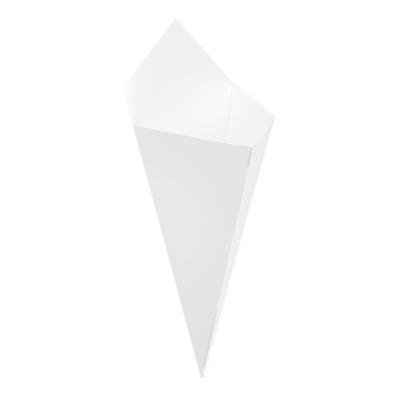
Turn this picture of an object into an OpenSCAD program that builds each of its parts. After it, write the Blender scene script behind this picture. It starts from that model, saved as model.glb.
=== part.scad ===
// Paper fries cone: one die-cut sheet of white paperboard, folded on four lines and glued on one seam.
// Every fold runs out from the tip, so each panel is a fan of the flat sheet.
// The open cone lies on its back panel, with the tip towards -Y and the mouth towards +Y.

/* [Sheet] */
// Thickness of the paperboard
board_t = 0.4; // [0.3:0.05:0.5]
// Length along the back panel from the tip to the peak
peak_r = 254; // [235:1:275]
// Length along the long fold and the back fold from the tip to the back panel's corners
back_r = 215; // [205:1:225]
// Length from the tip to each end of the front panel's straight top edge
front_r = 188.5; // [178:0.5:198]
// Length along the side fold from the tip to the rim
side_r = 194; // [186:0.5:202]
// Length that is trimmed off the back panel at the tip
tip_r = 0.3; // [0.3:0.1:4]
// Length that is trimmed off the seam at the tip, on the same slanted cut
seam_tip_r = 2.4; // [2.2:0.1:8]

/* [Panels] */
// Angle at the tip of the front panel and of the back panel
wide_angle = 28.3; // [26:0.1:31]
// Angle at the tip of each half of the folded side panel
side_angle = 19.1; // [17:0.1:21]
// Angle at the tip of the glue flap under the front panel
flap_angle = 2.4; // [1:0.1:4]
// Width of the glue flap at its narrow end, by the tip
flap_w = 0.4; // [0.3:0.05:0.5]
// Angle at the tip by which the back panel's left corner is cut in from the long fold
corner_in = 0.35; // [0.1:0.05:0.8]

/* [Opening] */
// How far the cone is open: angle at the tip from the long fold to the side fold
open_angle = 28.8; // [24:0.1:33]
// Outward bow of the half of the side panel next to the seam, as an angle at the tip
seam_bow = 0.4; // [0:0.05:0.8]
// Outward bow of the half of the side panel next to the back panel, as an angle at the tip
back_bow = 0.1; // [0:0.05:0.8]
// Distance of the front panel's cut edge from the fold that it covers
seam_gap = 0.25; // [0.1:0.05:0.4]

/* [Hidden] */
paper_white = "#F3F3F1";
// Facets across the outside of a fold
fold_steps = 4;
// Facets across each bowed half of the side panel
bow_steps = 6;
// Spacing that keeps the columns of one fold in order around the rim
fold_turn = 0.01;

function unit(v) = v / norm(v);

// Ray at angle a from ray p and angle b from ray q, on the side that p cross q points to
function ray_from(p, q, a, b) =
    let (g = p * q)
    let (i = (cos(a) - g * cos(b)) / (1 - g * g))
    let (j = (cos(b) - g * cos(a)) / (1 - g * g))
    let (h = sqrt(max(0, 1 - i * i - j * j - 2 * i * j * g)))
    i * p + j * q + h * unit(cross(p, q));

// Ray a share s of the way from p to q, which are an angle apart, bowed outwards by bow
function fan_ray(p, q, angle, bow, s) =
    let (flat = (p * sin(angle * (1 - s)) + q * sin(angle * s)) / sin(angle))
    unit(flat + tan(bow) * 4 * s * (1 - s) * unit(cross(p, q)));

// Length from the tip to a straight cut between two points of the flat sheet, at flat angle a
function cut_r(r1, a1, r2, a2, a) = r1 * r2 * sin(a2 - a1) / (r1 * sin(a - a1) + r2 * sin(a2 - a));

// Direction a share s of the way round a fold's outside, from the normal m to the normal n
function turn(m, n, s) = unit(m * (1 - s) + n * s);

// The four folds, as rays from the tip
long_fold = [-sin(wide_angle / 2), cos(wide_angle / 2), 0];
back_fold = [sin(wide_angle / 2), cos(wide_angle / 2), 0];
side_fold = ray_from(back_fold, long_fold, side_angle, open_angle);
seam_fold = ray_from(side_fold, long_fold, side_angle, wide_angle);

// Flat angle of each fold, counted from the seam across the front panel
long_a = wide_angle;
corner_a = long_a + corner_in;
peak_a = long_a + wide_angle / 2;
back_a = long_a + wide_angle;
side_a = back_a + side_angle;
seam_a = side_a + side_angle;

// Rays to the back panel's left corner and to its peak
corner_ray = fan_ray(long_fold, back_fold, wide_angle, 0, corner_in / wide_angle);
peak_ray = fan_ray(long_fold, back_fold, wide_angle, 0, 1 / 2);

// Rays across the two bowed halves of the side panel, from the back fold to the seam
back_half = [for (k = [0:bow_steps]) fan_ray(back_fold, side_fold, side_angle, back_bow, k / bow_steps)];
seam_half = [for (k = [0:bow_steps]) fan_ray(side_fold, seam_fold, side_angle, seam_bow, k / bow_steps)];

// Outward normal of the front and back panels and of each facet of the side panel
front_n = unit(cross(seam_fold, long_fold));
back_n = unit(cross(long_fold, back_fold));
back_half_n = [for (k = [0:bow_steps - 1]) unit(cross(back_half[k], back_half[k + 1]))];
seam_half_n = [for (k = [0:bow_steps - 1]) unit(cross(seam_half[k], seam_half[k + 1]))];
seam_n = seam_half_n[bow_steps - 1];

// At the seam: direction across the front panel, and the inside corner of the flap's own fold
across = unit(cross(front_n, seam_fold));
flap_corner = board_t * (-front_n - across * (front_n * seam_n) / (across * seam_n));
flap_ray = fan_ray(seam_fold, long_fold, wide_angle, 0, flap_angle / wide_angle);
cut_line = across * (across * flap_corner + seam_gap);

// Line of the front panel's top edge, and the length of a column that ends on it
front_mid = unit(seam_fold + long_fold);
front_h = front_r * cos(wide_angle / 2);
function front_len(ray, off) = (front_h - off * front_mid) / (ray * front_mid);

// A column is one line of the section: ray, offset from it, rim length and place around the rim.
// Columns of the sheet's inside face, from the flap round to the seam again
flap_in = flap_corner;
flap_end_in = across * flap_w - front_n * board_t;
flap_end = across * flap_w;
back_half_in = [for (k = [1:bow_steps - 1])
    let (a = back_a + side_angle * k / bow_steps)
    [back_half[k], [0, 0, 0], cut_r(back_r, back_a, side_r, side_a, a), a]];
seam_half_in = [for (k = [1:bow_steps - 1])
    let (a = side_a + side_angle * k / bow_steps)
    [seam_half[k], [0, 0, 0], cut_r(side_r, side_a, front_r, seam_a, a), a]];
inside = concat(
    [[seam_fold, flap_in, front_len(seam_fold, flap_in), 0],
     [flap_ray, flap_end_in, front_len(flap_ray, flap_end_in), flap_angle],
     [flap_ray, flap_end, front_len(flap_ray, flap_end), flap_angle + fold_turn],
     [long_fold, [0, 0, 0], front_r, long_a],
     [corner_ray, [0, 0, 0], back_r, corner_a],
     [peak_ray, [0, 0, 0], peak_r, peak_a],
     [back_fold, [0, 0, 0], back_r, back_a]],
    back_half_in,
    [[side_fold, [0, 0, 0], side_r, side_a]],
    seam_half_in);

// Outside of a fold: columns on a round of the board's thickness about its inside corner
function fold_columns(ray, off, m, n, r, a) = [for (k = [0:fold_steps])
    [ray, off + board_t * turn(m, n, k / fold_steps), r, a + fold_turn * (k / fold_steps - 1 / 2)]];

// Offset to the outside of a slight bend between the facet normals m and n
function bend(m, n) = board_t * (m + n) / (1 + m * n);

// Columns of the sheet's outside face, from the front panel's cut edge round to the seam
front_cut = cut_line + board_t * front_n;
back_half_out = [for (k = [1:bow_steps - 1])
    let (c = back_half_in[k - 1])
    [c[0], bend(back_half_n[k - 1], back_half_n[k]), c[2], c[3]]];
seam_half_out = [for (k = [1:bow_steps - 1])
    let (c = seam_half_in[k - 1])
    [c[0], bend(seam_half_n[k - 1], seam_half_n[k]), c[2], c[3]]];
outside = concat(
    [[seam_fold, front_cut, front_len(seam_fold, front_cut), 0]],
    fold_columns(long_fold, [0, 0, 0], front_n, back_n, front_r, long_a),
    [[corner_ray, board_t * back_n, back_r, corner_a],
     [peak_ray, board_t * back_n, peak_r, peak_a]],
    fold_columns(back_fold, [0, 0, 0], back_n, back_half_n[0], back_r, back_a),
    back_half_out,
    fold_columns(side_fold, [0, 0, 0], back_half_n[bow_steps - 1], seam_half_n[0], side_r, side_a),
    seam_half_out,
    fold_columns(seam_fold, flap_corner, seam_n, front_n, front_r, seam_a - fold_turn),
    [[seam_fold, cut_line, front_len(seam_fold, cut_line), seam_a]]);

// Length that the slanted cut trims off a column at the tip
function tip_len(ray) = tip_r + (seam_tip_r - tip_r) * ray[2] / seam_fold[2];

// Points of one face: the tip ends, then the rim ends
function face_points(cols) = concat(
    [for (c = cols) c[0] * tip_len(c[0]) + c[1]],
    [for (c = cols) c[0] * c[2] + c[1]]);

// Triangles of one face, two between each column and the next
function face_triangles(n) = [for (i = [0:n - 1])
    let (j = (i + 1) % n)
    each [[i, j, n + j], [i, n + j, n + i]]];

// One end of a face: each point's index and its place around the section, closed by the first point again
function end_line(cols, first) =
    concat([for (i = [0:len(cols) - 1]) [first + i, cols[i][3]]], [[first, seam_a + 1]]);

// Cut edge of the board: triangles between the outside line p and the inside line q, taken in order
function cut_edge(p, q, i = 0, j = 0) =
    let (p_done = i == len(p) - 1)
    let (q_done = j == len(q) - 1)
    p_done && q_done ? []
    : q_done || (!p_done && p[i + 1][1] <= q[j + 1][1])
        ? concat([[p[i][0], p[i + 1][0], q[j][0]]], cut_edge(p, q, i + 1, j))
        : concat([[p[i][0], q[j + 1][0], q[j][0]]], cut_edge(p, q, i, j + 1));

function flipped(list) = [for (t = list) [t[0], t[2], t[1]]];

out_n = len(outside);
in_n = len(inside);
in_first = 2 * out_n;
raw_points = concat(face_points(outside), face_points(inside));
sheet_faces = concat(
    face_triangles(out_n),
    [for (t = flipped(face_triangles(in_n))) [for (i = t) i + in_first]],
    cut_edge(end_line(outside, out_n), end_line(inside, in_first + in_n)),
    flipped(cut_edge(end_line(outside, 0), end_line(inside, in_first))));

// The middle of the box that the cone fills is over the origin, and its back panel is on z = 0
xs = [for (p = raw_points) p[0]];
ys = [for (p = raw_points) p[1]];
to_frame = [-(min(xs) + max(xs)) / 2, -(min(ys) + max(ys)) / 2, board_t];

// The folded sheet, with its glue flap closed against the inside of the front panel
module cone() {
    color(paper_white)
        translate(to_frame)
            polyhedron(points = raw_points, faces = sheet_faces);
}

cone();
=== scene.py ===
import math
from collections import namedtuple
import bmesh
import bpy
from mathutils import Matrix, Vector


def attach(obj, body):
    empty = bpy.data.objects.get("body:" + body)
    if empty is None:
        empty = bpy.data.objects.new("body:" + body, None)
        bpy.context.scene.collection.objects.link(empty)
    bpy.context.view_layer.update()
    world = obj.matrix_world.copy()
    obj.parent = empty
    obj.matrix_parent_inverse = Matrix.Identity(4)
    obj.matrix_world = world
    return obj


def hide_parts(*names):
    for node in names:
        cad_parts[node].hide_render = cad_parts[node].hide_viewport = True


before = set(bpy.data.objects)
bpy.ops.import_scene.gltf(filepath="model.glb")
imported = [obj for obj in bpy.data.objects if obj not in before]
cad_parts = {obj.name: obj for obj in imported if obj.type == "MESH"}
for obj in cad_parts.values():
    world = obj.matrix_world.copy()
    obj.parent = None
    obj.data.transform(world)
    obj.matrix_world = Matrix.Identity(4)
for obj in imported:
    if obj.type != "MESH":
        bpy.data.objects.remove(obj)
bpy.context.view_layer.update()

# Sheet: the part's own sizes, in millimetres and degrees
BOARD = 0.4
PEAK, BACK, FRONT, SIDE, TIP, SEAM_TIP = 254.0, 215.0, 188.5, 194.0, 0.3, 2.4
WIDE, HALF, FLAP, OPEN = 28.3, 19.1, 2.4, 28.8
FLAP_W, CORNER_IN, SEAM_GAP, SEAM_BOW, BACK_BOW = 0.4, 0.35, 0.25, 0.4, 0.1

# Handling, in millimetres: how far the sheet has moved off its true folds
SINK = 0.4          # front panel beside the flap, inwards
FLARE = 1.4         # front panel at its rim, outwards
LIFT = 0.18         # front panel's cut edge where the glue stops, outwards
REACH_OVER = 0.6    # that edge over the seam's fold, where the glue holds
CLOSE = 0.22        # seam's fold towards that edge, where the glue holds
BLUNT = 0.75        # side fold by the tip, outwards
TUCK = 0.25         # side fold above that, inwards
SLANT = 0.28        # seam, sideways over each 100 mm

# Where the handling starts and ends: lengths from the tip, in millimetres
TIP_SHUT, GLUE_STARTS, GLUE_ENDS = (4, 12), (45, 75), (158, 182)
BLUNT_FADES, TUCK_GROWS, FLARE_GROWS = (35, 95), (80, 150), (135, 195)
SLANT_TURNS = 85
# and shares of the front panel's width, from the seam or from the flap's free edge
FLARE_RISES, FLARE_FADES = (0, 0.15), (0.3, 1)
SINK_FALLS, SINK_FADES = (0, 0.13), (0.23, 1)


def sin(a):
    return math.sin(math.radians(a))


def cos(a):
    return math.cos(math.radians(a))


def mix(a, b, s):
    return a + (b - a) * s


def ease(low, high, x):
    """Smooth step from 0 at low to 1 at high."""
    s = min(1.0, max(0.0, (x - low) / (high - low)))
    return s * s * (3 - 2 * s)


# Folding: every fold is a ray from the tip
def ray_from(p, q, a, b):
    """Ray at angle a from p and b from q, on the side that p cross q points to."""
    g = p.dot(q)
    i = (cos(a) - g * cos(b)) / (1 - g * g)
    j = (cos(b) - g * cos(a)) / (1 - g * g)
    h = math.sqrt(max(0.0, 1 - i * i - j * j - 2 * i * j * g))
    return i * p + j * q + h * p.cross(q).normalized()


def fan_ray(p, q, angle, bow, s):
    """Ray a share s of the way from p to q, bowed outwards."""
    flat = (p * sin(angle * (1 - s)) + q * sin(angle * s)) / sin(angle)
    bulge = math.tan(math.radians(bow)) * 4 * s * (1 - s)
    return (flat + bulge * p.cross(q).normalized()).normalized()


def cut_r(r1, a1, r2, a2, a):
    """Length from the tip to a straight cut between two points of the flat sheet."""
    return r1 * r2 * sin(a2 - a1) / (r1 * sin(a - a1) + r2 * sin(a2 - a))


long_fold = Vector((-sin(WIDE / 2), cos(WIDE / 2), 0))
back_fold = Vector((sin(WIDE / 2), cos(WIDE / 2), 0))
side_fold = ray_from(back_fold, long_fold, HALF, OPEN)
seam_fold = ray_from(side_fold, long_fold, HALF, WIDE)
front_n = seam_fold.cross(long_fold).normalized()
back_n = long_fold.cross(back_fold).normalized()
across = front_n.cross(seam_fold).normalized()
front_mid = (seam_fold + long_fold).normalized()
side_out = (back_fold.cross(side_fold).normalized()
            + side_fold.cross(seam_fold).normalized()).normalized()
NONE = Vector((0, 0, 0))


def front_len(ray, off):
    """Length of a column that ends on the front panel's straight top edge."""
    return (FRONT * cos(WIDE / 2) - off.dot(front_mid)) / ray.dot(front_mid)


# A column is one line of the sheet: its ray, the offset of its inside face, its outward normal, its
# length to the rim and the small move that handling has given it at each length
Column = namedtuple("Column", "ray off normal length move")
FOLD_STEPS, FRONT_STEPS, BACK_STEPS, HALF_STEPS = 6, 40, 40, 16


def still(r):
    return NONE


def round_fold(ray, off, m, n, length, move=still):
    """Columns on the outside of a fold, about its inside corner."""
    return [Column(ray, off, mix(m, n, k / FOLD_STEPS).normalized(), length, move)
            for k in range(FOLD_STEPS + 1)]


def loose(r):
    """1 where the seam's glue stops, at the rim and by the tip, and 0 where it holds."""
    return max(ease(*GLUE_ENDS, r), ease(*TIP_SHUT, r) * (1 - ease(*GLUE_STARTS, r)))


def slanted(r):
    """Shift of the seam, glued a little askew: towards the front panel at the rim, off it by the tip."""
    return SLANT * (r - SLANT_TURNS) / 100


def side_move(blunt, close):
    """Move of the side panel: shares of what its own fold and the seam's fold do."""
    def move(r):
        pushed = BLUNT * (1 - ease(*BLUNT_FADES, r)) - TUCK * ease(*TUCK_GROWS, r)
        drawn = CLOSE * (1 - loose(r)) + slanted(r)
        return side_out * (pushed * blunt) + across * (drawn * close)
    return move


def bowed_half(p, q, bow, cut, move_at):
    """Columns across one half of the side panel, and the normals at its two ends."""
    rays = [fan_ray(p, q, HALF, bow, k / HALF_STEPS) for k in range(HALF_STEPS + 1)]
    flats = [a.cross(b).normalized() for a, b in zip(rays, rays[1:])]
    cols = [Column(rays[k], NONE, (flats[k - 1] + flats[k]).normalized(), cut(HALF * k / HALF_STEPS),
                   move_at(k / HALF_STEPS)) for k in range(1, HALF_STEPS)]
    return cols, flats[0], flats[-1]


def front_move(share):
    """Move of the front panel: it sinks beside the flap, flares at its rim and is loose at its cut edge."""
    edge = FLAP / WIDE
    span = max(0.0, (share - edge) / (1 - edge))
    depth = SINK * ease(*SINK_FALLS, span) * (1 - ease(*SINK_FADES, span))
    flare = FLARE * ease(*FLARE_RISES, share) * (1 - ease(*FLARE_FADES, share))
    by_seam = 1 - ease(0, edge, share)

    def move(r):
        out = LIFT * loose(r) * by_seam + flare * ease(*FLARE_GROWS, r) - depth * (r / FRONT) ** 2
        drawn = slanted(r) - REACH_OVER * (1 - loose(r)) * ease(*TIP_SHUT, r)
        return front_n * out + across * (drawn * by_seam)
    return move


corner_ray = fan_ray(long_fold, back_fold, WIDE, 0, CORNER_IN / WIDE)
back_half, back_half_n0, back_half_n1 = bowed_half(
    back_fold, side_fold, BACK_BOW, lambda a: cut_r(BACK, 0, SIDE, HALF, a),
    lambda s: side_move(ease(0, 1, s), 0))
seam_half, seam_half_n0, seam_half_n1 = bowed_half(
    side_fold, seam_fold, SEAM_BOW, lambda a: cut_r(SIDE, 0, FRONT, HALF, a),
    lambda s: side_move(1 - ease(0, 1, s), s))

flap_corner = BOARD * (-front_n - across * (front_n.dot(seam_half_n1) / across.dot(seam_half_n1)))
cut_line = across * (across.dot(flap_corner) + SEAM_GAP)
flap_ray = fan_ray(seam_fold, long_fold, WIDE, 0, FLAP / WIDE)
flap_off = across * FLAP_W - front_n * BOARD

# Front panel from its cut edge to the long fold: all its columns end at its rim
front_cols = [Column(seam_fold, cut_line, front_n, front_len(seam_fold, cut_line), front_move(0))]
for k in range(1, FRONT_STEPS):
    ray = fan_ray(seam_fold, long_fold, WIDE, 0, k / FRONT_STEPS)
    front_cols.append(Column(ray, NONE, front_n, front_len(ray, NONE), front_move(k / FRONT_STEPS)))
front_cols += round_fold(long_fold, NONE, front_n, back_n, FRONT)

# Back panel from its inset corner, the two halves of the side panel, and the flap
rest_cols = [Column(corner_ray, NONE, back_n, BACK, still)]
for k in range(1, BACK_STEPS):
    a = WIDE * k / BACK_STEPS
    left = cut_r(BACK, CORNER_IN, PEAK, WIDE / 2, a)
    right = cut_r(PEAK, WIDE / 2, BACK, WIDE, a)
    ray = fan_ray(long_fold, back_fold, WIDE, 0, k / BACK_STEPS)
    rest_cols.append(Column(ray, NONE, back_n, left if a <= WIDE / 2 else right, still))
rest_cols += round_fold(back_fold, NONE, back_n, back_half_n0, BACK) + back_half
rest_cols += round_fold(side_fold, NONE, back_half_n1, seam_half_n0, SIDE, side_move(1, 0)) + seam_half
rest_cols += round_fold(seam_fold, flap_corner, seam_half_n1, front_n, FRONT, side_move(0, 1))
rest_cols.append(Column(flap_ray, flap_off, front_n, front_len(flap_ray, flap_off), side_move(0, 1)))
columns = front_cols + rest_cols

# Rows up each column: the front panel's rows stop at its rim, the others have more rows above that
LOW_ROWS, HIGH_ROWS = 40, 20
LOW_SHARE = FRONT / BACK


def tip_len(ray):
    """Length that the slanted cut trims off a column at the tip."""
    return TIP + (SEAM_TIP - TIP) * ray.z / seam_fold.z


def row_lengths(col, high):
    """Lengths from the tip of the rows of one column."""
    top = col.length * LOW_SHARE if high else col.length
    rows = [mix(tip_len(col.ray), top, k / LOW_ROWS) for k in range(LOW_ROWS + 1)]
    if high:
        rows += [mix(top, col.length, k / HIGH_ROWS) for k in range(1, HIGH_ROWS + 1)]
    return rows


# The middle of the sheet's box is over the origin, and the back panel's outside is on z = 0
MM = 0.001
ends = [c.ray * r + c.off + c.normal * t for c in columns
        for r in (tip_len(c.ray), c.length) for t in (0, BOARD)]
spans = [(min(p[i] for p in ends), max(p[i] for p in ends)) for i in (0, 1)]
tip_place = Vector((-sum(spans[0]) / 2, -sum(spans[1]) / 2, BOARD))

COAT, CORE = 0, 1
mesh = bmesh.new()
outer, inner = [], []
for high, group in ((False, front_cols), (True, rest_cols)):
    for col in group:
        base = [col.ray * r + col.off + col.move(r) + tip_place for r in row_lengths(col, high)]
        inner.append([mesh.verts.new(p * MM) for p in base])
        outer.append([mesh.verts.new((p + BOARD * col.normal) * MM) for p in base])


def add_face(ring, kind):
    mesh.faces.new(ring).material_index = kind


for i in range(len(columns) - 1):
    a, b, c, d = outer[i], outer[i + 1], inner[i + 1], inner[i]
    shared = min(len(a), len(b))
    for k in range(shared - 1):
        add_face((a[k], a[k + 1], b[k + 1], b[k]), COAT)
        add_face((d[k], c[k], c[k + 1], d[k + 1]), COAT)
    # The back panel's edge above the long fold was creased, so its coat is drawn round it
    creased = len(b) > shared
    if creased:
        add_face([a[-1]] + b[:shared - 2:-1], COAT)
        add_face([d[-1]] + c[shared - 1:], COAT)
    add_face((a[0], b[0], c[0], d[0]), CORE)
    add_face((a[-1], d[-1], c[-1], b[-1]), COAT if creased else CORE)

# Long cut edges: the front panel's edge has the light coat where the glue holds and the darker core grey
# where the glue stops, so that grey is painted shade in the loose edge's shadow line; the flap's is bare
a, d = outer[0], inner[0]
for k, r in enumerate(row_lengths(columns[0], False)[:-1]):
    add_face((d[k], d[k + 1], a[k + 1], a[k]), CORE if loose(r) > 0.5 else COAT)
a, d = outer[-1], inner[-1]
for k in range(len(a) - 1):
    add_face((a[k], a[k + 1], d[k + 1], d[k]), CORE)
bmesh.ops.remove_doubles(mesh, verts=mesh.verts, dist=1e-6)
bmesh.ops.recalc_face_normals(mesh, faces=mesh.faces)
data = bpy.data.meshes.new("folded_sheet")
mesh.to_mesh(data)
mesh.free()
cone = bpy.data.objects.new("folded_sheet", data)
bpy.context.scene.collection.objects.link(cone)


# Materials
def linear(code):
    """Linear colour of an sRGB hex value."""
    parts = [int(code[i:i + 2], 16) / 255 for i in (1, 3, 5)]
    return [c / 12.92 if c <= 0.04045 else ((c + 0.055) / 1.055) ** 2.4 for c in parts] + [1.0]


def node(tree, kind, settings=(), links=()):
    """Add a node, set its attributes or input sockets, and link (input, from node, output)."""
    new = tree.nodes.new(kind)
    for key, value in dict(settings).items():
        if isinstance(key, str) and hasattr(new, key):
            setattr(new, key, value)
        else:
            new.inputs[key].default_value = value
    for name, source, output in links:
        tree.links.new(source.outputs[output], new.inputs[name])
    return new


def new_material(name):
    made = bpy.data.materials.new(name)
    made.use_nodes = True
    made.node_tree.nodes.clear()
    return made, made.node_tree


# Coated white paperboard: calendered and clay coated, so it is matt, even and neutral white, with only a
# faint mottle of 6 mm from the pulp under the coat. The relief of the fibres is drawn at 1.2 mm, coarser
# than real fibres, so that it shows.
board, tree = new_material("coated_white_paperboard")
place = node(tree, "ShaderNodeTexCoord")
mottle = node(tree, "ShaderNodeTexNoise", {"Scale": 1 / (6 * MM), "Detail": 4.0, "Roughness": 0.6},
              [("Vector", place, "Object")])
shade = node(tree, "ShaderNodeValToRGB", {}, [("Fac", mottle, "Fac")])
shade.color_ramp.elements[0].color = linear("#F6F6F6")
shade.color_ramp.elements[1].color = linear("#F9F9F9")
fibres = node(tree, "ShaderNodeTexNoise", {"Scale": 1 / (1.2 * MM), "Detail": 3.0},
              [("Vector", place, "Object")])
relief = node(tree, "ShaderNodeBump", {"Strength": 0.05, "Distance": 0.1 * MM}, [("Height", fibres, "Fac")])
skin = node(tree, "ShaderNodeBsdfPrincipled", {"Roughness": 0.6, "IOR": 1.47},
            [("Base Color", shade, "Color"), ("Normal", relief, "Normal")])
node(tree, "ShaderNodeOutputMaterial", {}, [("Surface", skin, "BSDF")])
data.materials.append(board)

# Uncoated board core: the bare fibres on the cut edges, greyer and rougher than the coat, in tufts that
# are drawn at 1.5 mm, coarser than real ones, so that they show. Its grey is also painted shade: it is set
# darker than bare fibres alone, to lay the seam gap's and the rims' shadow lines on these edges
core, tree = new_material("board_core_and_painted_edge_shade")
place = node(tree, "ShaderNodeTexCoord")
tufts = node(tree, "ShaderNodeTexNoise", {"Scale": 1 / (1.5 * MM), "Detail": 3.0},
             [("Vector", place, "Object")])
shade = node(tree, "ShaderNodeValToRGB", {}, [("Fac", tufts, "Fac")])
# Bare fibre grey, darkened further as painted shade for the seam's and the rims' shadow lines
shade.color_ramp.elements[0].color = linear("#C8C8C8")
shade.color_ramp.elements[1].color = linear("#D6D6D6")
fibre = node(tree, "ShaderNodeBsdfDiffuse", {"Roughness": 0.8}, [("Color", shade, "Color")])
node(tree, "ShaderNodeOutputMaterial", {}, [("Surface", fibre, "BSDF")])
data.materials.append(core)

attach(cone, "root")
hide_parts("cone")


def seen_direct(tree):
    """1 for rays that show a thing itself: to the camera, in a gloss or through a clear body."""
    path = node(tree, "ShaderNodeLightPath")
    pair = node(tree, "ShaderNodeMath", {"operation": "MAXIMUM"},
                [(0, path, "Is Camera Ray"), (1, path, "Is Glossy Ray")])
    return node(tree, "ShaderNodeMath", {"operation": "MAXIMUM"},
                [(0, pair, 0), (1, path, "Is Transmission Ray")])


# Floor: a pale studio sweep that the camera sees as white, with the cone's soft shadow left on it
FLOOR_HALF, FLOOR_Z = 6.0, -0.1 * MM
floor_mesh = bpy.data.meshes.new("studio_floor")
corners = [(x * FLOOR_HALF, y * FLOOR_HALF, FLOOR_Z) for x, y in ((-1, -1), (1, -1), (1, 1), (-1, 1))]
floor_mesh.from_pydata(corners, [], [(0, 1, 2, 3)])
floor = bpy.data.objects.new("studio_floor", floor_mesh)
bpy.context.scene.collection.objects.link(floor)

# Matt white floor paint: rolled on, with no gloss. What the camera sees of it is lifted to white.
paint, tree = new_material("matt_white_floor_paint")
matt = node(tree, "ShaderNodeBsdfDiffuse", {"Color": linear("#EDEDED")})
shown_matt = node(tree, "ShaderNodeBsdfDiffuse", {"Color": linear("#9A9A9A")})
glow = node(tree, "ShaderNodeEmission", {"Color": linear("#FFFFFF"), "Strength": 0.71})
shown = node(tree, "ShaderNodeAddShader", {}, [(0, shown_matt, 0), (1, glow, 0)])
seen = seen_direct(tree)
chosen = node(tree, "ShaderNodeMixShader", {}, [("Fac", seen, 0), (1, matt, 0), (2, shown, 0)])
node(tree, "ShaderNodeOutputMaterial", {}, [("Surface", chosen, 0)])
floor_mesh.materials.append(paint)

# Light: an even white surround, five broad lamps and one small low card beside the long fold
world = bpy.data.worlds.new("white_surround")
bpy.context.scene.world = world
world.use_nodes = True
tree = world.node_tree
tree.nodes.clear()
surround = node(tree, "ShaderNodeBackground", {"Color": linear("#FFFFFF"), "Strength": 0.377})
backdrop = node(tree, "ShaderNodeBackground", {"Color": linear("#FFFFFF"), "Strength": 1.0})
seen = seen_direct(tree)
sky = node(tree, "ShaderNodeMixShader", {}, [("Fac", seen, 0), (1, surround, 0), (2, backdrop, 0)])
node(tree, "ShaderNodeOutputWorld", {}, [("Surface", sky, 0)])


def add_lamp(name, place, aim, size, watts):
    """Square soft lamp at a place, turned to aim at a point."""
    lamp = bpy.data.lights.new(name, "AREA")
    lamp.size = size
    lamp.energy = watts
    made = bpy.data.objects.new(name, lamp)
    made.location = place
    made.rotation_euler = (Vector(aim) - Vector(place)).to_track_quat("-Z", "Y").to_euler()
    made.visible_camera = False
    bpy.context.scene.collection.objects.link(made)


# Points that the lamps face: the middle of the cone and of its front panel
MIDDLE, FRONT_PANEL = (0, 0.03, 0.03), (-0.007, -0.007, 0.03)
add_lamp("overhead_softbox", (0, 0.33, 1.55), MIDDLE, 1.2, 7.0)
add_lamp("rear_overhead_softbox", (0, -0.8, 1.4), MIDDLE, 1.2, 1.8)
add_lamp("mouth_softbox", (0, 1.53, 0.46), MIDDLE, 1.2, 9.1)
add_lamp("left_softbox", (-0.6, 1.35, 0.35), MIDDLE, 1.0, 11.4)
add_lamp("tip_softbox", (0, -1.49, 0.59), MIDDLE, 1.2, 10.9)
add_lamp("low_card", (-0.089, -0.025, 0.016), FRONT_PANEL, 0.035, 0.0022)

# Camera: the photograph's view of the lying cone, with the tip towards the bottom of the image. The focal
# length is in pixels of the image's width, and the eye's place is in millimetres from the cone's tip.
SENSOR, FOCAL, IMAGE_WIDTH = 36, 999.6, 400
EYE = Vector((-483.75, 189.13, 505.01))
lens = bpy.data.cameras.new("photo_camera")
lens.sensor_width = SENSOR
lens.lens = SENSOR * FOCAL / IMAGE_WIDTH
lens.clip_start = 0.05
camera = bpy.data.objects.new("photo_camera", lens)
back = Vector((-0.6969, 0.08825, 0.71172)).normalized()
up = Vector((0.11176, 0.99364, -0.01378))
right = up.cross(back).normalized()
up = back.cross(right)
turn = Matrix((right, up, back)).transposed().to_4x4()
camera.matrix_world = Matrix.Translation((EYE + tip_place) * MM) @ turn
bpy.context.scene.collection.objects.link(camera)
bpy.context.scene.camera = camera
bpy.context.scene.view_settings.view_transform = "Standard"
